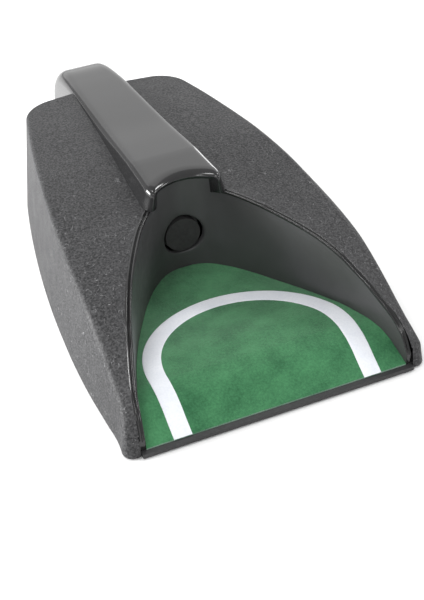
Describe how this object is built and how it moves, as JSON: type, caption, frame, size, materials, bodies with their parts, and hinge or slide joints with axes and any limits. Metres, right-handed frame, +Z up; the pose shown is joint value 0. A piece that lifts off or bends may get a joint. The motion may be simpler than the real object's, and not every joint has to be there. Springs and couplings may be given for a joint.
{
  "type": "putting cup",
  "caption": "Golf practice putting cup: a felt ramp in a parabolic mouth leads a ball to a sprung kicker under a gloss hood.",
  "frame": {"origin": "centre of the bounding box on the floor, under the rubber feet", "axes": "+Z up; -Y toward the open mouth, where the ball rolls in; +Y toward the tail of the hood; +X to the right seen from the mouth"},
  "size_m": [0.164, 0.3063, 0.0725],
  "materials": {
    "textured_shell": "dark grey moulded ABS with a fine leather grain",
    "gloss_shell": "smooth gloss black ABS",
    "tray_plastic": "plain black ABS",
    "felt_backing": "thin pale backing sheet",
    "green_felt": "mottled green felt",
    "white_felt": "white felt",
    "pad_rubber": "black rubber",
    "kicker_plastic": "black acetal",
    "steel": "ground steel",
    "spring_steel": "spring steel wire",
    "bracket_steel": "zinc plated sheet steel",
    "bush_brass": "turned brass",
    "screw_steel": "zinc plated steel",
    "foot_rubber": "black rubber"
  },
  "bodies": {
    "housing": {"wing_shell": "textured_shell", "hood_throat": "gloss_shell", "base_tray": "tray_plastic", "felt_backing": "felt_backing", "felt_green": "green_felt", "arch_line": "white_felt", "kick_spring": "spring_steel", "chassis": "bracket_steel", "front_bush": "bush_brass", "rear_bush": "bush_brass", "chassis_screws": "screw_steel", "base_screws": "screw_steel", "hood_screws": "screw_steel", "foot_front_left": "foot_rubber", "foot_front_right": "foot_rubber", "foot_rear_left": "foot_rubber", "foot_rear_right": "foot_rubber"},
    "kicker": {"kick_pad": "pad_rubber", "kick_head": "kicker_plastic", "kick_rod": "steel", "stop_washer": "steel", "retaining_clip": "spring_steel"}
  },
  "joints": [
    {"name": "kicker_slide", "type": "slide", "parent": "housing", "child": "kicker", "axis": [0, 1, 0], "range_m": [0, 0.022], "stiffness_N_per_m": 90, "springref_m": -0.016, "deforming": ["kick_spring"]}
  ]
}
